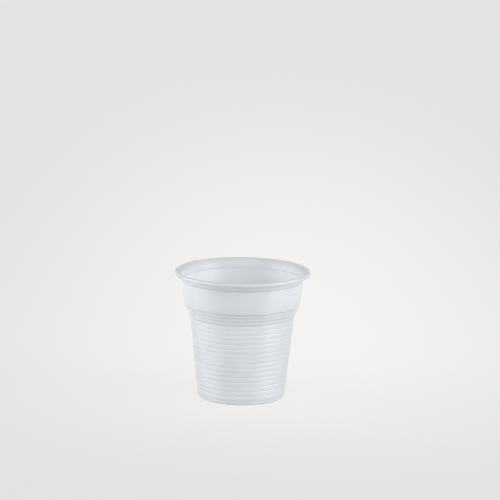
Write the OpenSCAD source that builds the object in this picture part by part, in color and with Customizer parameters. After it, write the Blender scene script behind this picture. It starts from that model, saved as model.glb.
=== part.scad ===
// A small disposable coffee cup, thermoformed from one sheet of plastic. From the top down it has
// a rolled rim, a flared flange, a smooth band, a ribbed shoulder, a ribbed tapering wall and a
// base panel raised inside a narrow foot ring. The cup is a body of revolution about Z.
// Diameters are outside ones, and on the ribbed wall they are taken over the ribs.

/* [Height] */
// Height of the cup from the floor to the top of the rim
cup_h = 55; // [48:0.5:80]

/* [Rim] */
// Diameter of the rolled rim
rim_d = 58; // [56:0.5:64]
// Diameter of the bead's own round section
bead_d = 1.8; // [1.4:0.1:2.4]
// How far the sheet rolls round in the bead, in degrees
curl_angle = 280; // [180:5:290]
// Thickness of the sheet in the flange and the bead
rim_t = 0.4; // [0.3:0.02:0.5]
// Height from the neck to the top of the rim
flange_h = 4; // [3.2:0.1:6]
// How far the flange flares: the turn of its slope from the neck to the bead, in degrees
flange_flare = 25; // [5:1:35]

/* [Neck] */
// Radius in the neck, where the flange meets the band
neck_fillet = 0.6; // [0.5:0.05:1.2]
// Radius of the round crease that is pressed into the outside of the neck
crease_r = 0.3; // [0.2:0.02:0.5]
// Depth of that crease
crease_depth = 0.2; // [0.1:0.02:0.24]

/* [Band] */
// Diameter at the neck
neck_d = 51.9; // [50.5:0.1:53]
// Diameter at the band's lower edge
band_d = 49.4; // [47:0.1:51]
// Height of the smooth band
band_h = 10.1; // [6:0.1:16]
// Radius on the band's lower edge
band_fillet = 0.5; // [0.4:0.05:0.8]
// How far the sheet tucks in under the band's lower edge
tuck = 0.34; // [0.15:0.01:0.5]
// Height of that tuck
tuck_h = 0.5; // [0.4:0.05:0.9]

/* [Shoulder] */
// Height of the ribbed shoulder, from the tuck to the top groove of the wall
shoulder_h = 5; // [4:0.1:8]
// Number of ribs on the shoulder
shoulder_ribs = 3; // [2:1:4]
// Height of each shoulder rib as a share of the one below it
shoulder_shrink = 0.88; // [0.7:0.02:0.98]
// How far the middle of the shoulder bows in from a straight cone
shoulder_bow = 0.1; // [0:0.05:0.5]

/* [Ribbed wall] */
// Diameter over the ribs at the top of the wall
waist_d = 44.6; // [42:0.1:46]
// Diameter over the ribs at the foot of the wall
foot_d = 37.5; // [34:0.1:40]
// Height of the lowest groove above the floor
first_groove_h = 2; // [1.8:0.1:3]
// Height from one groove to the next
rib_pitch = 2.1; // [1.6:0.05:3]
// How far each rib stands out of the grooves
rib_depth = 0.2; // [0.1:0.02:0.3]
// How flat the ribs are: 2 gives a plain arch, and a higher number a flatter top
rib_power = 6; // [2:1:8]
// Thickness of the sheet in the wall
wall_t = 0.25; // [0.2:0.01:0.35]

/* [Base] */
// Radius of the corner between the wall and the floor
foot_fillet = 1.5; // [1:0.1:1.7]
// Width of the foot ring, from the outer corner to the step
foot_ring_w = 2.4; // [2.2:0.1:3.5]
// Rise of the base panel above the floor
base_rise = 1; // [0.6:0.1:1.6]
// Slope of the step round the base panel, in degrees
step_angle = 60; // [45:1:75]
// Radius at the two ends of the step
step_fillet = 0.55; // [0.4:0.05:0.6]
// Thickness of the sheet in the base
base_t = 0.32; // [0.25:0.01:0.38]

/* [Hidden] */
$fn = 120;

// Steps in one rib, in a fillet and in the flange, and the turn of one step in the bead
rib_steps = 6;
fillet_steps = 6;
flange_steps = 8;
bead_step = 10;

rim_r = rim_d / 2;
neck_z = cup_h - flange_h;
band_z = neck_z - band_h;
waist_z = band_z - tuck_h - shoulder_h;
wall_ribs = round((waist_z - first_groove_h) / rib_pitch);

// The bead is the sheet rolled round a hollow
hollow_r = bead_d / 2 - rim_t;
bead_c = [rim_r - bead_d / 2, cup_h - bead_d / 2];

neck = [neck_d / 2, neck_z];

// Slope of the flange where it leaves the neck, and where it meets the bead
flange_foot_slope = straight_slope() + flange_flare / 2;
flange_top_slope = straight_slope() - flange_flare / 2;
bead_start = flange_top_slope + 90;

band_foot = [band_d / 2, band_z];
tuck_groove = band_foot - [tuck, tuck_h];
waist = [waist_d / 2, waist_z];
waist_groove = waist - [rib_depth, 0];
foot = [foot_d / 2, first_groove_h];
foot_groove = foot - [rib_depth, 0];

// The corner where the line over the ribs, run on down, meets the floor
corner = foot - (waist - foot) * foot.y / (waist.y - foot.y);
step_foot = [corner.x - foot_ring_w, 0];
step_head = step_foot + [-base_rise / tan(step_angle), base_rise];

function unit(v) = v / norm(v);

function left_of(v) = [-v.y, v.x];

function between(a, b, share) = a + (b - a) * share;

// Where the line from a along u meets the line from b along v
function crossing(a, u, b, v) = a + u * cross(b - a, v) / cross(u, v);

// Points on an arc about c, from angle a0 to angle a1
function arc(c, r, a0, a1, steps) =
    [for (i = [0:steps]) let (a = a0 + (a1 - a0) * i / steps) c + r * [cos(a), sin(a)]];

// The shorter turn from angle a0 to angle a1
function turn(a0, a1) = let (d = a1 - a0) d > 180 ? d - 360 : d < -180 ? d + 360 : d;

// The corner at b between a and c, rounded to radius r
function rounded(a, b, c, r) =
    let (
        u = unit(a - b),
        v = unit(c - b),
        half = acos(u * v) / 2,
        centre = b + unit(u + v) * r / sin(half),
        p = b + u * r / tan(half) - centre,
        q = b + v * r / tan(half) - centre,
        a0 = atan2(p.y, p.x),
        a1 = atan2(q.y, q.x)
    )
    arc(centre, r, a0, a0 + turn(a0, a1), fillet_steps);

// Height of a rib at share s of its pitch. It is 0 in the grooves and rib_depth half way.
function rib_height(s) = rib_depth * (1 - pow(abs(2 * s - 1), rib_power));

// One rib from groove a up to groove b: a flat-topped arch on the outside of the line between
// them, with its steps crowded at the grooves
function rib(a, b) =
    [for (i = [0:rib_steps - 1])
        let (s = (1 - cos(180 * i / rib_steps)) / 2)
        between(a, b, s) - left_of(unit(b - a)) * rib_height(s)];

// Share of a run's height that its first i ribs take, when each is shrink times the one below
function risen(i, count, shrink) =
    shrink == 1 ? i / count : (1 - pow(shrink, i)) / (1 - pow(shrink, count));

// A run of count ribs on the line from a to b, which bows inwards by bow at its middle
function ribs(a, b, count, shrink = 1, bow = 0) =
    let (groove = [for (i = [0:count])
        let (s = risen(i, count, shrink))
        between(a, b, s) + left_of(unit(b - a)) * bow * 4 * s * (1 - s)])
    [for (i = [0:count - 1]) each rib(groove[i], groove[i + 1])];

// Gives a run of points the sheet thickness t
function thick(points, t) = [for (p = points) [p.x, p.y, t]];

// The underside of the base panel, the step down to the foot ring, and the outer corner
function base_line() = concat(
    [[0, base_rise]],
    rounded([0, base_rise], step_head, step_foot, step_fillet),
    rounded(step_head, step_foot, corner, step_fillet),
    rounded(step_foot, corner, foot, foot_fillet)
);

function wall_line() = ribs(foot_groove, waist_groove, wall_ribs);

function shoulder_line() =
    ribs(waist_groove, tuck_groove, shoulder_ribs, shoulder_shrink, shoulder_bow);

function band_edge() = concat([tuck_groove], rounded(tuck_groove, band_foot, neck, band_fillet));

// Slope of a straight flange, which would run up from the neck and touch the hollow of the bead
function straight_slope() =
    let (d = bead_c - neck)
    atan2(d.y, d.x) + asin(hollow_r / norm(d));

// The neck, and the flange that flares from it to the bead. With its control point where the
// lines at both its ends cross, the flange is a curve that touches those lines.
function neck_line() =
    let (
        along = [cos(flange_foot_slope), sin(flange_foot_slope)],
        top = bead_c + hollow_r * [cos(bead_start), sin(bead_start)],
        control = crossing(neck, along, top, [cos(flange_top_slope), sin(flange_top_slope)]),
        corner = rounded(band_foot, neck, control, neck_fillet)
    )
    concat(corner, flange(corner[fillet_steps], control, top));

// A curve that leaves a towards b and reaches c from b. Both its ends are left out, because the
// lines next to it have them.
function flange(a, b, c) =
    [for (i = [1:flange_steps - 1])
        let (t = i / flange_steps)
        between(between(a, b, t), between(b, c, t), t)];

// Centre of the round crease, which lies outside the neck by what the crease isn't deep
function crease_c() = neck - left_of(unit(neck - band_foot)) * (crease_r - crease_depth);

// The hollow of the bead, with points on its top and its outermost side
function bead_line() =
    let (
        end = bead_start - curl_angle,
        first = bead_step * floor((bead_start - 1) / bead_step),
        turns = concat([bead_start], [for (a = [first:-bead_step:end + 1]) a], [end])
    )
    [for (a = turns) bead_c + hollow_r * [cos(a), sin(a)]];

// The outer face of the sheet, from the middle of the base to the rolled-in edge. Up the band the
// sheet thickens evenly, because the thickness is set at the points on both sides of it.
function outer_face() = concat(
    thick(base_line(), base_t),
    thick(wall_line(), wall_t),
    thick(shoulder_line(), wall_t),
    thick(band_edge(), wall_t),
    thick(neck_line(), rim_t),
    thick(bead_line(), rim_t)
);

// The inner face lies one sheet thickness to the left of the outer face
function inner_face(face) =
    let (last = len(face) - 1)
    [for (i = [0:last])
        let (
            p = face[i],
            before = face[max(i - 1, 0)],
            after = face[min(i + 1, last)],
            along = unit([after.x - before.x, after.y - before.y])
        )
        [p.x, p.y] + left_of(along) * p.z];

function sheet_section() =
    let (face = outer_face(), inner = inner_face(face))
    concat(
        [for (p = face) [p.x, p.y]],
        [for (i = [len(inner) - 1:-1:0]) inner[i]]
    );

module cup() {
    color([0.90, 0.91, 0.92])
        rotate_extrude()
            difference() {
                polygon(sheet_section());
                translate(crease_c()) circle(crease_r);
            }
}

cup();
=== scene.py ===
# %% [markdown]
# # A thin plastic coffee cup, worked out with numpy
#
# This lesson dresses one small part: a disposable coffee cup that was pressed out of a single
# sheet of plastic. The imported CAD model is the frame, and it says how big the cup is and where it
# stands. Everything that is seen is a surface of revolution that numpy works out as whole arrays,
# with a procedural plastic on it. The cells build up in this order: the camera, the outline of the
# sheet, the lathe that turns it into a mesh, the plastic, the floor and the light.

# %% Load the frame
import math

import bpy
import numpy as np
from mathutils import Matrix, Vector


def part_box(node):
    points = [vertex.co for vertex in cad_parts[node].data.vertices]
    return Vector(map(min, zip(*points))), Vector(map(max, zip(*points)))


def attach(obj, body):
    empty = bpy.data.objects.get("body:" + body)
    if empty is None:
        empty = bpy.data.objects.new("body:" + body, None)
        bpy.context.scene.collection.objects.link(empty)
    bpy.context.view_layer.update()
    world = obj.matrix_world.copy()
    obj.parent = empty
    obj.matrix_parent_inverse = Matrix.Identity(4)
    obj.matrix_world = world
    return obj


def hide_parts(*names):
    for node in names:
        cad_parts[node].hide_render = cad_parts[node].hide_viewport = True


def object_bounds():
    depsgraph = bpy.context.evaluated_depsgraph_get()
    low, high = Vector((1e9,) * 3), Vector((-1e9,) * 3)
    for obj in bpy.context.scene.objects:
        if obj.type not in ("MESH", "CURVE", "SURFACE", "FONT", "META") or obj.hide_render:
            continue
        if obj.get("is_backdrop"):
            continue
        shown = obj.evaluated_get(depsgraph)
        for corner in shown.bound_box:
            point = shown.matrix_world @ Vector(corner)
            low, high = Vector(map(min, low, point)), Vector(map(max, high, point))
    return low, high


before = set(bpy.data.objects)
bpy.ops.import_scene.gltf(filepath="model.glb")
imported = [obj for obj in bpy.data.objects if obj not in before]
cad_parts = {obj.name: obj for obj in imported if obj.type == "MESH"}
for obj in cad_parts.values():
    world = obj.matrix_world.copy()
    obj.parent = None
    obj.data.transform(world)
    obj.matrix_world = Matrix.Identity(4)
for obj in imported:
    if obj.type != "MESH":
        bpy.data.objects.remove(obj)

cad_box = [list(corner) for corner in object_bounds()]
scene = bpy.context.scene
scene.view_settings.view_transform = "Standard"
print("CAD box in metres:", cad_box)

# %% [markdown]
# ## The camera
#
# The cup was photographed from a long way off for its size, so its sides hardly converge, and
# from a little above, so the mouth is a flat ellipse. A camera is placed by four facts: how far
# away it is, how high it stands, how long its lens is, and which picture point the centre of the
# cup's foot falls on. The last could be set with the camera's shift. Turning the camera a little
# does the same and stays right when other views move it, so that is what this cell does.

# %% Camera
PHOTO_SIDE = 500
FOCAL_LENGTH_PX = 3147
CAMERA_DISTANCE = 1.356
CAMERA_ELEVATION = math.radians(14.0)
FOOT_PX = (241.1, 395.4)
LEAN = math.radians(0.7)


def place_camera():
    """Looks at the origin, rolls by the lean, then turns until the origin falls on FOOT_PX."""
    data = bpy.data.cameras.new("camera")
    data.sensor_width = 36
    data.lens = data.sensor_width * FOCAL_LENGTH_PX / PHOTO_SIDE
    data.clip_start = 0.05
    camera = bpy.data.objects.new("camera", data)
    scene.collection.objects.link(camera)
    place = CAMERA_DISTANCE * Vector((0, -math.cos(CAMERA_ELEVATION), math.sin(CAMERA_ELEVATION)))
    look = (-place).to_track_quat("-Z", "Y").to_matrix()
    right = (FOOT_PX[0] - PHOTO_SIDE / 2) / FOCAL_LENGTH_PX
    down = (FOOT_PX[1] - PHOTO_SIDE / 2) / FOCAL_LENGTH_PX
    turn = Vector((right, -down, -1)).rotation_difference(Vector((0, 0, -1))).to_matrix()
    roll = Matrix.Rotation(LEAN, 3, "Z")
    camera.matrix_world = Matrix.Translation(place) @ (look @ roll @ turn).to_4x4()
    scene.camera = camera
    return camera


camera = place_camera()
print(f"lens {camera.data.lens:.1f} mm, {CAMERA_DISTANCE} m from the foot of the cup")

# %% [markdown]
# ## The outline of the sheet
#
# The real cup is one sheet, heated and sucked into a mould, so its inner and outer faces are the
# same line a few tenths of a millimetre apart. That is also the best way to draw it: work out the
# outer face once, then step inwards by the thickness. The sheet is thick where it was clamped, at
# the rim, and thin where it was stretched, in the wall.
#
# Lengths in this lesson are in millimetres until the mesh is made. The two that matter most, the
# height and the rim, come from the frame, so the sheet always fits the CAD model.

# %% Sizes of the sheet, in millimetres
MM = 0.001
low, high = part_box("cup")
CUP_H = round((high.z - low.z) / MM, 2)
RIM_R = round(max(high.x, high.y) / MM, 2)

BEAD_R, CURL_ANGLE = 0.9, math.radians(280)
FLANGE_H, FLANGE_FLARE, NECK_R = 4.0, math.radians(25), 25.95
CREASE_W, CREASE_DEPTH, CREASE_EDGE_R, CREASE_R = 0.6, 0.24, 0.5, 0.12
BAND_H, BAND_FOOT_R, BAND_FILLET = 10.1, 24.7, 0.5
TUCK_W, TUCK_H = 0.34, 0.5
SHOULDER_H, SHOULDER_RIBS, SHOULDER_SHRINK, SHOULDER_BOW = 5.0, 3, 0.88, 0.1
WAIST_R, FOOT_R, FIRST_GROOVE_H = 22.3, 18.75, 2.0
RIB_PITCH, RIB_DEPTH, GROOVE_SOFTNESS = 2.1, 0.2, 0.18
FOOT_FILLET, FOOT_RING_W = 1.5, 2.4
BASE_RISE, STEP_ANGLE, STEP_FILLET = 1.0, math.radians(60), 0.55
RIM_T, WALL_T, BASE_T = 0.4, 0.25, 0.32

print(f"cup {CUP_H} mm high, {2 * RIM_R} mm across the rim")

# %% [markdown]
# ### Three small tools for outlines
#
# An outline is an array of points, one row each, in the half plane right of the cup's axis: the
# first column is the radius and the second the height. Three helpers are enough for all of it. An
# arc is a circle's formula over an array of angles. A rounded corner is such an arc, fitted
# between two lines. A unit vector is a vector over its length.

# %% Tools for outlines
def unit(v):
    """A vector, or each row of an array, divided by its length."""
    v = np.asarray(v, float)
    return v / np.linalg.norm(v, axis=-1, keepdims=True)


def arc(centre, radius, angles):
    """The centre plus the radius times the cosine and sine of each angle."""
    return np.asarray(centre) + radius * np.stack([np.cos(angles), np.sin(angles)], axis=1)


def rounded(a, b, c, radius, steps=8):
    """The corner at b between a and c, as an arc. With half the angle at b called h, the arc's
    centre is radius / sin(h) from b on the bisector, and its ends are radius / tan(h) from b."""
    a, b, c = (np.asarray(p, float) for p in (a, b, c))
    u, v = unit(a - b), unit(c - b)
    half = math.acos(u @ v) / 2
    centre = b + unit(u + v) * radius / math.sin(half)
    start, end = (b + w * radius / math.tan(half) - centre for w in (u, v))
    first = math.atan2(start[1], start[0])
    sweep = (math.atan2(end[1], end[0]) - first + math.pi) % (2 * math.pi) - math.pi
    return arc(centre, radius, first + sweep * np.linspace(0, 1, steps + 1))


# %% [markdown]
# ### The ribs
#
# A rib on the real cup is a flat-topped ring, and all that shows of it is the narrow groove on
# each side. A power of the distance from the rib's middle makes that form: the higher the power,
# the flatter the top and the narrower the groove. Left alone it would meet the next rib in a
# knife-sharp groove, which heated plastic never has, so a square root rounds the foot. The points
# of a rib crowd towards its grooves, where the form bends most. All the ribs of a run come out of
# one array: a whole number says which rib a point is on, and the rest says how far up it is.

# %% Ribs
RIB_STEPS = 12
RIB_POWER = 6


def rib_height(s):
    """From 0 up to 1 and back: 1 less the power of the distance from the middle. The square root
    of its square plus the softness squared, less the softness, rounds its foot."""
    soft = GROOVE_SOFTNESS
    height = 1 - np.abs(2 * s - 1) ** RIB_POWER
    return (np.sqrt(height**2 + soft**2) - soft) / (math.sqrt(1 + soft**2) - soft)


def rib_run(low_groove, high_groove, count, shrink=1.0, bow=0.0):
    """Ribs from one groove up to another. Each is shrink times as high as the one below, so
    groove i is at the share (1 - shrink^i) / (1 - shrink^count), and bow moves the middle of the
    run inwards by a parabola."""
    low_groove, high_groove = np.asarray(low_groove, float), np.asarray(high_groove, float)
    place = np.arange(count + 1.0)
    share = place / count if shrink == 1 else (1 - shrink**place) / (1 - shrink**count)
    along = unit(high_groove - low_groove)
    inwards = np.array([-along[1], along[0]])
    grooves = low_groove + share[:, None] * (high_groove - low_groove)
    grooves = grooves + (bow * 4 * share * (1 - share))[:, None] * inwards
    step = np.arange(count * RIB_STEPS)
    rib, s = step // RIB_STEPS, (1 - np.cos(math.pi * (step % RIB_STEPS) / RIB_STEPS)) / 2
    a, b = grooves[rib], grooves[rib + 1]
    chord = unit(b - a)
    outwards = np.stack([chord[:, 1], -chord[:, 0]], axis=1)
    return a + s[:, None] * (b - a) + (RIB_DEPTH * rib_height(s))[:, None] * outwards


# %% [markdown]
# ### From the middle of the base to the rolled edge
#
# The outer face is five runs of points, one for each region of the cup. Each region is a function
# of its own and has its own thickness. The bead at the top is the sheet rolled round a hollow: the
# outer face becomes the inside of the roll there, so the arc follows the hollow.

# %% Regions of the outer face
neck = np.array([NECK_R, CUP_H - FLANGE_H])
band_foot = np.array([BAND_FOOT_R, neck[1] - BAND_H])
crease_low = neck - CREASE_W / 2 * unit(neck - band_foot)
tuck_groove = band_foot - [TUCK_W, TUCK_H]
waist = np.array([WAIST_R, tuck_groove[1] - SHOULDER_H])
foot = np.array([FOOT_R, FIRST_GROOVE_H])
hollow_r = BEAD_R - RIM_T
bead_centre = np.array([RIM_R - BEAD_R, CUP_H - BEAD_R])
PANEL_POINTS, PANEL_MARGIN = 12, 1.0
FLANGE_POINTS, BEAD_POINTS = 12, 41


def base():
    """The raised panel, the step down to the foot ring, and the corner up into the wall."""
    corner = foot - (waist - foot) * foot[1] / (waist[1] - foot[1])
    step_foot = np.array([corner[0] - FOOT_RING_W, 0])
    step_head = step_foot + [-BASE_RISE / math.tan(STEP_ANGLE), BASE_RISE]
    centre = [0, BASE_RISE]
    panel_r = np.linspace(0, step_head[0] - PANEL_MARGIN, PANEL_POINTS)
    return np.concatenate([
        np.stack([panel_r, np.full(PANEL_POINTS, BASE_RISE)], axis=1),
        rounded(centre, step_head, step_foot, STEP_FILLET),
        rounded(step_head, step_foot, corner, STEP_FILLET),
        rounded(step_foot, corner, foot, FOOT_FILLET),
    ])


def wall():
    """The ribbed wall, from the lowest groove to the waist."""
    count = round((waist[1] - foot[1]) / RIB_PITCH)
    return rib_run(foot - [RIB_DEPTH, 0], waist - [RIB_DEPTH, 0], count)


def shoulder():
    """The ribs that widen the cup from the waist to the tuck below the band."""
    return rib_run(waist - [RIB_DEPTH, 0], tuck_groove, SHOULDER_RIBS, SHOULDER_SHRINK, SHOULDER_BOW)


def band_edge():
    """The groove under the band and the band's rounded lower edge."""
    edge = rounded(tuck_groove, band_foot, crease_low, BAND_FILLET)
    return np.concatenate([[tuck_groove], edge])


def crossing(a, along_a, b, along_b):
    """The point where the line from a meets the line from b: a plus m times its direction, with m
    the cross product of (b - a) and b's direction over that of the two directions."""
    (dx, dy), (ax, ay), (bx, by) = b - a, along_a, along_b
    return a + along_a * (dx * by - dy * bx) / (ax * by - ay * bx)


def neck_and_bead():
    """The crease in the neck, the flange, and the sheet rolled round the hollow of the bead. A
    straight flange would touch the hollow. This one flares by half its flare to each side of that
    slope, on the quadratic curve (1 - t)^2 foot + 2 t (1 - t) control + t^2 top, with its control
    where the lines at both its ends cross."""
    way = bead_centre - neck
    straight = math.atan2(way[1], way[0]) + math.asin(hollow_r / np.linalg.norm(way))
    foot_slope, top_slope = straight + FLANGE_FLARE / 2, straight - FLANGE_FLARE / 2
    foot_way = np.array([math.cos(foot_slope), math.sin(foot_slope)])
    top_way = np.array([math.cos(top_slope), math.sin(top_slope)])
    start = top_slope + math.pi / 2
    roll = arc(bead_centre, hollow_r, np.linspace(start, start - CURL_ANGLE, BEAD_POINTS))
    control = crossing(neck, foot_way, roll[0], top_way)
    crease = neck - [CREASE_DEPTH, 0]
    crease_high = neck + CREASE_W / 2 * foot_way
    corners = [
        rounded(band_foot, crease_low, crease, CREASE_EDGE_R),
        rounded(crease_low, crease, crease_high, CREASE_R),
        rounded(crease, crease_high, control, CREASE_EDGE_R),
    ]
    t = np.linspace(0, 1, FLANGE_POINTS)[1:-1, None]
    flange = (1 - t) ** 2 * corners[-1][-1] + 2 * t * (1 - t) * control + t**2 * roll[0]
    return np.concatenate([*corners, flange, roll])


# %% [markdown]
# The inner face is found for the whole line at once. The direction at each point is the line from
# the point before it to the point after it, which numpy gives as a difference of shifted arrays.
# A quarter turn to the left of that direction points into the sheet.

# %% The closed section
def section():
    """Outer face up, inner face back down: a closed line, but for the axis at its two ends."""
    regions = [
        (base(), BASE_T),
        (wall(), WALL_T),
        (shoulder(), WALL_T),
        (band_edge(), WALL_T),
        (neck_and_bead(), RIM_T),
    ]
    outer = np.concatenate([points for points, _ in regions])
    thickness = np.concatenate([np.full(len(points), t) for points, t in regions])
    padded = np.concatenate([outer[:1], outer, outer[-1:]])
    along = unit(padded[2:] - padded[:-2])
    inner = outer + thickness[:, None] * np.stack([-along[:, 1], along[:, 0]], axis=1)
    return outer, np.concatenate([outer, inner[::-1]])


outer_face, outline = section()
print(f"{len(outline)} points in the section, {outline[:, 0].max():.2f} mm from the axis at most")

# %% [markdown]
# ### Painted shade in the grooves
#
# Light gets into a narrow groove and hardly out again, so each groove of the real cup is a thin dark
# line. The lines are narrower than a picture point, and a renderer that lets light through the
# sheet washes them out. So the mesh carries a mask, 1 in the bottom of a groove and 0 a few tenths
# of a millimetre away, which the plastic reads later as painted shade in its colour. It follows the
# form exactly, because it is worked out from the same points. The crease in the neck, the tuck below
# the band and the grooves of the shoulder get deep painted shade. Those of the wall get faint. The
# same mask paints light on the inner face, so that it is a little whiter than the outer one, and
# paints shade on the inside of the flange.

# %% Mask of painted shade and light
# Painted shade: how wide the dark lines are and how dark each kind of groove is painted
LINE_W = 0.15
NECK_SHARE, DEEP_SHARE, FAINT_SHARE = 1.0, 0.75, 0.13
# Painted light on the inner face below the neck, painted shade on the inside of the flange
INNER_PAINTED_LIGHT_SHARE, FLANGE_PAINTED_SHADE_SHARE = -0.06, 0.1


def groove_mask(points):
    """Painted shade: the largest, over all grooves, of its share times e to the minus square of the
    distance over the line's width. The inner face starts after the outer one and has no grooves. Its
    share is a little below 0 up to the neck, which is painted light, a little above 0 in the flange,
    which is painted shade, and 0 on the bead."""
    deep = np.concatenate([[tuck_groove], shoulder()[::RIB_STEPS]])
    faint = wall()[::RIB_STEPS]
    grooves = np.concatenate([[neck - [CREASE_DEPTH, 0]], deep, faint])
    share = np.repeat([NECK_SHARE, DEEP_SHARE, FAINT_SHARE], [1, len(deep), len(faint)])
    distance = np.linalg.norm(points[:, None] - grooves[None], axis=-1)
    mask = (share * np.exp(-((distance / LINE_W) ** 2))).max(axis=1)
    # The inner face: painted light below the neck, painted shade in the flange, none on the bead
    r, z = points[len(outer_face):].T
    rim = np.where(r < bead_centre[0] - BEAD_R, FLANGE_PAINTED_SHADE_SHARE, 0)
    mask[len(outer_face):] = np.where(z < neck[1], INNER_PAINTED_LIGHT_SHARE, rim)
    return mask


groove = groove_mask(outline)
print(f"{(groove > 0.5).sum()} points of the section lie in a deep groove")

# %% [markdown]
# ## The lathe
#
# A lathe turns a section into a mesh: the point at radius r and height z goes round the axis as
# r cos(angle), r sin(angle), z. With an array of radii down and an array of angles across, numpy
# makes every point in one product. The two ends of the section lie on the axis, where all angles
# give the same point, so they become one vertex each and the base is closed without a hole.
#
# A cup this thin is never quite round. It keeps a trace of the way it was gripped and stacked, so
# its radius falls short by up to a tenth of a millimetre, most at the rim and not at all at the
# foot. The eye doesn't read that as a dent, but reflections bend to it.

# %% Lathe
SEGMENTS = 120
ROUNDNESS_MM = 0.03
TWO_LOBES_TURN, THREE_LOBES_TWIST, THREE_LOBES_SHARE = 0.7, 2.0, 0.6
AXIS_R = 0.5


def out_of_round(angle, height):
    """Millimetres taken off the radius: a slow two-lobed swell that grows with height, plus a
    smaller three-lobed one whose phase turns with height, both counted from their highest."""
    rise = np.clip(height / CUP_H, 0, 1)
    two = 1 - np.sin(2 * angle + TWO_LOBES_TURN)
    three = 1 - np.sin(3 * angle + THREE_LOBES_TWIST * rise)
    return ROUNDNESS_MM * rise * (two + THREE_LOBES_SHARE * three)


def lathe(name, points, mask, segments):
    """A closed mesh, in metres, with the section's first and last points as its two poles. The
    mask of painted shade and light goes with the points, as the mesh's attribute groove.
    Points near the axis stay round."""
    angle = np.arange(segments) * 2 * math.pi / segments
    ring = points[1:-1]
    r, z = ring[:, :1], np.repeat(ring[:, 1:], segments, axis=1)
    r = r - out_of_round(angle[None, :], z) * (r > AXIS_R)
    body = np.stack([r * np.cos(angle), r * np.sin(angle), z], axis=-1).reshape(-1, 3)
    poles = np.array([[0, 0, points[0, 1]], [0, 0, points[-1, 1]]])
    rows = len(ring)
    here = np.arange(segments)
    nxt = np.roll(here, -1)
    up = np.arange(rows - 1)[:, None] * segments
    quads = np.stack([up + here, up + nxt, up + segments + nxt, up + segments + here], axis=-1)
    bottom, top = rows * segments, rows * segments + 1
    under = np.stack([nxt, here, np.full(segments, bottom)], axis=-1)
    last = (rows - 1) * segments
    over = np.stack([last + here, last + nxt, np.full(segments, top)], axis=-1)
    mesh = bpy.data.meshes.new(name)
    mesh.from_pydata(
        (np.concatenate([body, poles]) * MM).tolist(),
        [],
        quads.reshape(-1, 4).tolist() + under.tolist() + over.tolist(),
    )
    mesh.polygons.foreach_set("use_smooth", np.ones(len(mesh.polygons), bool))
    values = np.concatenate([np.repeat(mask[1:-1], segments), [0, 0]])
    mesh.attributes.new("groove", "FLOAT", "POINT").data.foreach_set("value", values)
    mesh.update()
    piece = bpy.data.objects.new(name, mesh)
    scene.collection.objects.link(piece)
    return piece


cup = lathe("cup_sheet", outline, groove, SEGMENTS)
print(f"{cup.name}: {len(cup.data.vertices)} vertices, {len(cup.data.polygons)} faces")

# %% [markdown]
# ## Helpers for materials
#
# A material is a small graph. These helpers add a node with its settings in one line, so that the
# code below shows what a finish is made of and not how nodes are wired. All patterns are placed by
# Object coordinates, which are metres on the piece itself.

# %% Helpers for materials
def new_tree(name):
    """An empty node material and its tree."""
    material = bpy.data.materials.new(name)
    material.use_nodes = True
    material.node_tree.nodes.clear()
    return material, material.node_tree


def add(tree, kind, inputs=None, **settings):
    """A shader node. Each input is a number, a colour, or another node's output to link."""
    made = tree.nodes.new("ShaderNode" + kind)
    for key, value in settings.items():
        setattr(made, key, value)
    for key, value in (inputs or {}).items():
        if isinstance(value, bpy.types.NodeSocket):
            tree.links.new(value, made.inputs[key])
        else:
            made.inputs[key].default_value = value
    return made


def calc(tree, operation, a, b):
    """The output of a Math node."""
    return add(tree, "Math", {0: a, 1: b}, operation=operation).outputs["Value"]


def object_place(tree):
    """Where a point is on the piece."""
    return add(tree, "TexCoord").outputs["Object"]


def axes_of(tree, vector):
    """The X, Y and Z outputs of a vector."""
    return add(tree, "SeparateXYZ", {"Vector": vector}).outputs


def rescale(tree, value, low, high):
    """A noise value, of which nearly all lies from 0.3 to 0.7, spread from low to high."""
    steps = {"Value": value, "From Min": 0.3, "From Max": 0.7, "To Min": low, "To Max": high}
    return add(tree, "MapRange", steps).outputs["Result"]


# %% [markdown]
# ## The marks of forming
#
# A sheet that was heated and drawn down over a mould isn't even. Its white wanders by a percent or
# two, in soft clouds a centimetre or two across. The stretch also leaves faint streaks that run up
# the wall, and the turned mould prints its own fine rings round it. All three are noise on Object
# coordinates. The clouds are plain noise, the streaks are noise with the height pressed flat, and
# the rings read the height alone. They make one node group, so the material below only says how
# strong each mark is.

# %% Node group for the marks
CLOUDS_PER_M, STREAKS_PER_M, RINGS_PER_M = 70, 420, 2600
STREAK_STRETCH = 0.1


def forming_marks():
    """A node group whose three outputs are noise values from 0 to 1."""
    group = bpy.data.node_groups.new("forming_marks", "ShaderNodeTree")
    for name in ("Clouds", "Streaks", "Rings"):
        group.interface.new_socket(name, in_out="INPUT", socket_type="NodeSocketFloat")
        group.interface.new_socket(name, in_out="OUTPUT", socket_type="NodeSocketFloat")
    scales = group.nodes.new("NodeGroupInput").outputs
    ends = group.nodes.new("NodeGroupOutput").inputs
    place = object_place(group)
    height = axes_of(group, place)["Z"]
    flat = add(group, "VectorMath", {0: place, 1: (1, 1, STREAK_STRETCH)}, operation="MULTIPLY")
    clouds = add(group, "TexNoise", {"Vector": place, "Scale": scales["Clouds"], "Detail": 2.0})
    streaks = add(group, "TexNoise", {
        "Vector": flat.outputs["Vector"], "Scale": scales["Streaks"], "Detail": 3.0,
    })
    rings = add(group, "TexNoise", {"W": height, "Scale": scales["Rings"]}, noise_dimensions="1D")
    for name, noise in (("Clouds", clouds), ("Streaks", streaks), ("Rings", rings)):
        group.links.new(noise.outputs["Fac"], ends[name])
    return group


marks = forming_marks()
print("marks of forming:", [socket.name for socket in marks.interface.items_tree])
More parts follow.
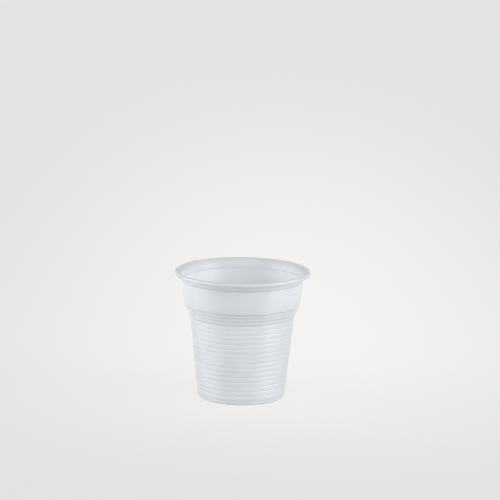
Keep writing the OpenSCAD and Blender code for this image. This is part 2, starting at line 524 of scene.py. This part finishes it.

# %% [markdown]
# ## The plastic
#
# White polystyrene this thin is two things at once. Its face is smooth and reflects soft light as
# a pale sheen, and behind the face it is milky: part of the light goes through and comes out
# scattered on the far side. A Principled shader gives the face, a Translucent shader gives the
# light that comes through, and a Mix Shader joins them. Both are nearly white, the face a trace
# warmer than the light that comes through. True scattering in the volume would do the same with far
# more samples, for a sheet that is a quarter of a millimetre thick.
#
# The mould's fine rings draw each highlight out into a tall streak. Anisotropy does that: turned by
# a quarter, it stretches the sheen up and down the wall and keeps it narrow from side to side.
#
# The ribbed wall is painted a little brighter than the band and the rim, a painted light that the
# lamps don't give it. The tone steps at the tuck, by the height of the point.

# %% Plastic
FACE_WHITE, MILK_WHITE = (0.814, 0.82, 0.83), (0.793, 0.815, 0.836)
THROUGH_SHARE, PAINTED_SHADE_STRENGTH, WALL_PAINTED_LIGHT = 0.52, 0.85, 1.055
PLASTIC_IOR, SHEEN_STRETCH, SHEEN_TURN = 1.8, 0.85, 0.25
CLOUD_TONES, STREAK_ROUGHNESS = (0.985, 1.015), (0.32, 0.38)
MARK_DEPTH_M = 0.000012


def plastic():
    """Milky white, with painted shade in the grooves and painted light on the wall below the band
    and on the inner face, and the marks of forming in its tone, roughness and relief."""
    material, tree = new_tree("white_plastic")
    scales = {"Clouds": CLOUDS_PER_M, "Streaks": STREAKS_PER_M, "Rings": RINGS_PER_M}
    mark = add(tree, "Group", node_tree=marks)
    for name, scale in scales.items():
        mark.inputs[name].default_value = scale
    in_groove = add(tree, "Attribute", attribute_name="groove").outputs["Fac"]
    # Painted shade: the mask darkens the colour in the grooves and inside the flange, and lightens it
    # on the inner face
    groove_shade = calc(tree, "SUBTRACT", 1.0, calc(tree, "MULTIPLY", in_groove, PAINTED_SHADE_STRENGTH))
    # Painted light: the ribbed wall below the tuck is painted brighter than the band
    painted_wall_light = add(tree, "MapRange", {
        "Value": axes_of(tree, object_place(tree))["Z"],
        "From Min": tuck_groove[1] * MM, "From Max": band_foot[1] * MM,
        "To Min": WALL_PAINTED_LIGHT, "To Max": 1.0,
    })
    clouds = rescale(tree, mark.outputs["Clouds"], *CLOUD_TONES)
    tone = calc(tree, "MULTIPLY", calc(tree, "MULTIPLY", clouds, groove_shade), painted_wall_light.outputs["Result"])
    colour = add(tree, "VectorMath", {0: FACE_WHITE, "Scale": tone}, operation="SCALE")
    relief = calc(tree, "ADD", mark.outputs["Streaks"], mark.outputs["Rings"])
    bump = add(tree, "Bump", {"Height": relief, "Distance": MARK_DEPTH_M})
    face = add(tree, "BsdfPrincipled", {
        "Base Color": colour.outputs["Vector"],
        "Roughness": rescale(tree, mark.outputs["Streaks"], *STREAK_ROUGHNESS),
        "Normal": bump.outputs["Normal"],
        "IOR": PLASTIC_IOR,
        "Anisotropic": SHEEN_STRETCH,
        "Anisotropic Rotation": SHEEN_TURN,
    })
    through = add(tree, "BsdfTranslucent", {"Color": (*MILK_WHITE, 1)})
    mix = add(tree, "MixShader", {0: THROUGH_SHARE, 1: face.outputs[0], 2: through.outputs[0]})
    add(tree, "OutputMaterial", {"Surface": mix.outputs["Shader"]})
    return material


cup.data.materials.append(plastic())
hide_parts("cup")
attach(cup, "root")
print(f"{cup.name} wears {cup.data.materials[0].name}")

# %% [markdown]
# ## The floor
#
# The cup stands on white acrylic. What the camera sees of it fades from a painted pool of light round
# the cup to a pale grey in front and at the sides, and to a tone between them far behind, with
# hardly a shadow. A floor lit to look like that would flood the cup with light from below. So most of
# what the camera, a reflection or a look through glass gets is a plain glow of the floor's own, with
# the pool painted in, by the Light Path node, and the light that falls on the cup meets a plain pale
# floor. The rest is that pale floor for the camera too, and it brings the soft shadow.
#
# The painted pool of light is an ellipse: how far a point is from its centre, over its half width,
# and over another length in front than behind. Lengths are in metres here.

# %% Floor
FLOOR_R = 4.0
GLOW_SHARE = 0.85
GLOW_CENTRE, GLOW_W, GLOW_FRONT, GLOW_BACK = (0.025, 0.11), 0.226, 0.3, 0.915
# The painted pool of light round the cup, the pale floor in front and at the sides, and the far floor
PAINTED_POOL_TONE, PALE, FAR = 0.965, 0.785, 0.865
FLOOR_COLOUR, FLOOR_ROUGHNESS, FLOOR_SPECULAR = (0.75, 0.75, 0.75, 1), 0.3, 0.1


def seen_directly(tree):
    """1 for a ray of the camera, a reflection or a look through glass, and 0 for the others."""
    rays = add(tree, "LightPath").outputs
    mirrored = calc(tree, "MAXIMUM", rays["Is Camera Ray"], rays["Is Glossy Ray"])
    return calc(tree, "MAXIMUM", mirrored, rays["Is Transmission Ray"])


def glow_tone(tree):
    """Distance from the centre of the painted pool of light in half widths, then a smooth step from
    the pool's bright tone to the pale one. A second smooth step, over the first metre behind the cup,
    leads on to the tone far away."""
    place = object_place(tree)
    shifted = add(tree, "VectorMath", {0: place, 1: (*GLOW_CENTRE, 0)}, operation="SUBTRACT")
    away = axes_of(tree, shifted.outputs["Vector"])
    across = calc(tree, "DIVIDE", away["X"], GLOW_W)
    behind = calc(tree, "DIVIDE", away["Y"], GLOW_BACK)
    ahead = calc(tree, "DIVIDE", away["Y"], -GLOW_FRONT)
    flat = add(tree, "CombineXYZ", {"X": across, "Y": calc(tree, "MAXIMUM", behind, ahead)})
    distance = add(tree, "VectorMath", {0: flat.outputs["Vector"]}, operation="LENGTH").outputs["Value"]
    fade = add(tree, "MapRange", {
        "Value": distance, "To Min": PAINTED_POOL_TONE, "To Max": PALE,
    }, interpolation_type="SMOOTHSTEP")
    beyond = add(tree, "MapRange", {
        "Value": axes_of(tree, place)["Y"], "To Max": FAR - PALE,
    }, interpolation_type="SMOOTHSTEP")
    return calc(tree, "ADD", fade.outputs["Result"], beyond.outputs["Result"])


def floor_finish():
    """A pale face, and over it the glow, for rays that see the floor directly."""
    material, tree = new_tree("white_acrylic")
    face = add(tree, "BsdfPrincipled", {
        "Base Color": FLOOR_COLOUR,
        "Roughness": FLOOR_ROUGHNESS,
        "Specular IOR Level": FLOOR_SPECULAR,
    })
    glow = add(tree, "Emission", {"Color": glow_tone(tree), "Strength": 1.0})
    share = calc(tree, "MULTIPLY", seen_directly(tree), GLOW_SHARE)
    mix = add(tree, "MixShader", {0: share, 1: face.outputs[0], 2: glow.outputs[0]})
    add(tree, "OutputMaterial", {"Surface": mix.outputs["Shader"]})
    return material


def floor(spokes=64, rings=24):
    """A flat disc: ring i has the radius FLOOR_R (i / rings)^2, so the rings crowd at the cup."""
    angle = np.arange(spokes) * 2 * math.pi / spokes
    radius = FLOOR_R * (np.arange(1, rings + 1) / rings) ** 2
    disc = radius[:, None, None] * np.stack([np.cos(angle), np.sin(angle), 0 * angle], axis=-1)
    here = np.arange(spokes)
    nxt = np.roll(here, -1)
    out = np.arange(rings - 1)[:, None] * spokes
    quads = np.stack([out + here, out + spokes + here, out + spokes + nxt, out + nxt], axis=-1)
    fan = np.stack([here, nxt, np.full(spokes, rings * spokes)], axis=-1)
    points = np.concatenate([disc.reshape(-1, 3), [[0, 0, 0]]])
    mesh = bpy.data.meshes.new("floor")
    mesh.from_pydata(points.tolist(), [], quads.reshape(-1, 4).tolist() + fan.tolist())
    mesh.materials.append(floor_finish())
    mesh.update()
    piece = bpy.data.objects.new("floor", mesh)
    scene.collection.objects.link(piece)
    piece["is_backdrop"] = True
    return piece


print(f"floor: a disc of {len(floor().data.polygons)} faces, {2 * FLOOR_R} m across")

# %% [markdown]
# ## The light
#
# The cup's wall is darkest in the middle and brightest at both sides, in tall soft bands that run
# through every rib. That is how a round white thing looks between large lights: each band is one
# softbox beside the cup, and its edge on the plastic is the edge of the box. Two strong boxes on
# the left and one on the right give the bands, and a weak one further forward on the left gives the
# slope towards the middle. Two boxes above the camera light the front and, over the rim, the
# inside. Two weak ones on the right soften what is left. None shows itself to the camera.
#
# A lamp's power is worked out from its radiance, which is how bright the box looks, so that the
# numbers below can be compared with each other whatever the size of the box.

# %% Light
BOX_DISTANCE = 1.0
AIM = Vector((0, 0, 0.03))
# For each box its azimuth, which is 0 at the camera and grows to the right, its elevation, both in
# degrees, its width and height in metres, and its radiance
SOFTBOXES = {
    "front_high": (0, 50, (0.8, 0.5), 2.2),
    "front": (0, 24, (0.8, 0.4), 1.5),
    "left_front": (-50, 15, (0.35, 0.5), 1.8),
    "left_side": (-72, 15, (0.35, 0.5), 6.4),
    "left_back": (-98, 15, (0.5, 0.5), 5.3),
    "right_side": (66, 15, (0.58, 0.5), 7.5),
    "right_back": (99, 15, (0.5, 0.5), 0.6),
    "right_high": (86, 45, (0.9, 0.5), 1.1),
}


def softbox(name, azimuth, elevation, size, radiance):
    """A rectangular lamp that faces the cup. Its power is its radiance times pi times its area."""
    a, e = math.radians(azimuth), math.radians(elevation)
    way = Vector((math.cos(e) * math.sin(a), -math.cos(e) * math.cos(a), math.sin(e)))
    data = bpy.data.lights.new(name, "AREA")
    data.shape = "RECTANGLE"
    data.size, data.size_y = size
    data.energy = radiance * math.pi * size[0] * size[1]
    lamp = bpy.data.objects.new(name, data)
    scene.collection.objects.link(lamp)
    lamp.visible_camera = False
    facing = (AIM - BOX_DISTANCE * way).to_track_quat("-Z", "Y").to_matrix()
    lamp.matrix_world = Matrix.Translation(BOX_DISTANCE * way) @ facing.to_4x4()
    return lamp


for name, (azimuth, elevation, size, radiance) in SOFTBOXES.items():
    lamp = softbox(name, azimuth, elevation, size, radiance)
    print(f"{name}: {lamp.data.energy:.2f} W")

# %% [markdown]
# ## The room behind
#
# Past the edge of the floor there is only the world. It gives no light of its own, but what looks
# at it straight on sees the same pale grey as the far floor, so the horizon hardly shows. A smooth
# face and a sheet that lets light through see it too, which keeps the cup's edges pale.

# %% World
WORLD_TONE = 0.76


def pale_world():
    """A grey background whose strength is 1 for rays that see it directly, and 0 for the others."""
    world = bpy.data.worlds.new("pale_room")
    world.use_nodes = True
    tree = world.node_tree
    tree.nodes.clear()
    sky = add(tree, "Background", {"Color": (WORLD_TONE,) * 3 + (1,), "Strength": seen_directly(tree)})
    add(tree, "OutputWorld", {"Surface": sky.outputs["Background"]})
    return world


scene.world = pale_world()
print("world:", scene.world.name)

# %% [markdown]
# ## Sizes
#
# The dressed cup has to stay inside the box of the CAD model. The print shows how much room is
# left at each corner.

# %% Sizes
visual_box = [list(corner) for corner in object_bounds()]
room = (np.array(visual_box) - np.array(cad_box)) * [[1], [-1]] / MM
print("room inside the CAD box, in mm:", room.round(3).tolist())
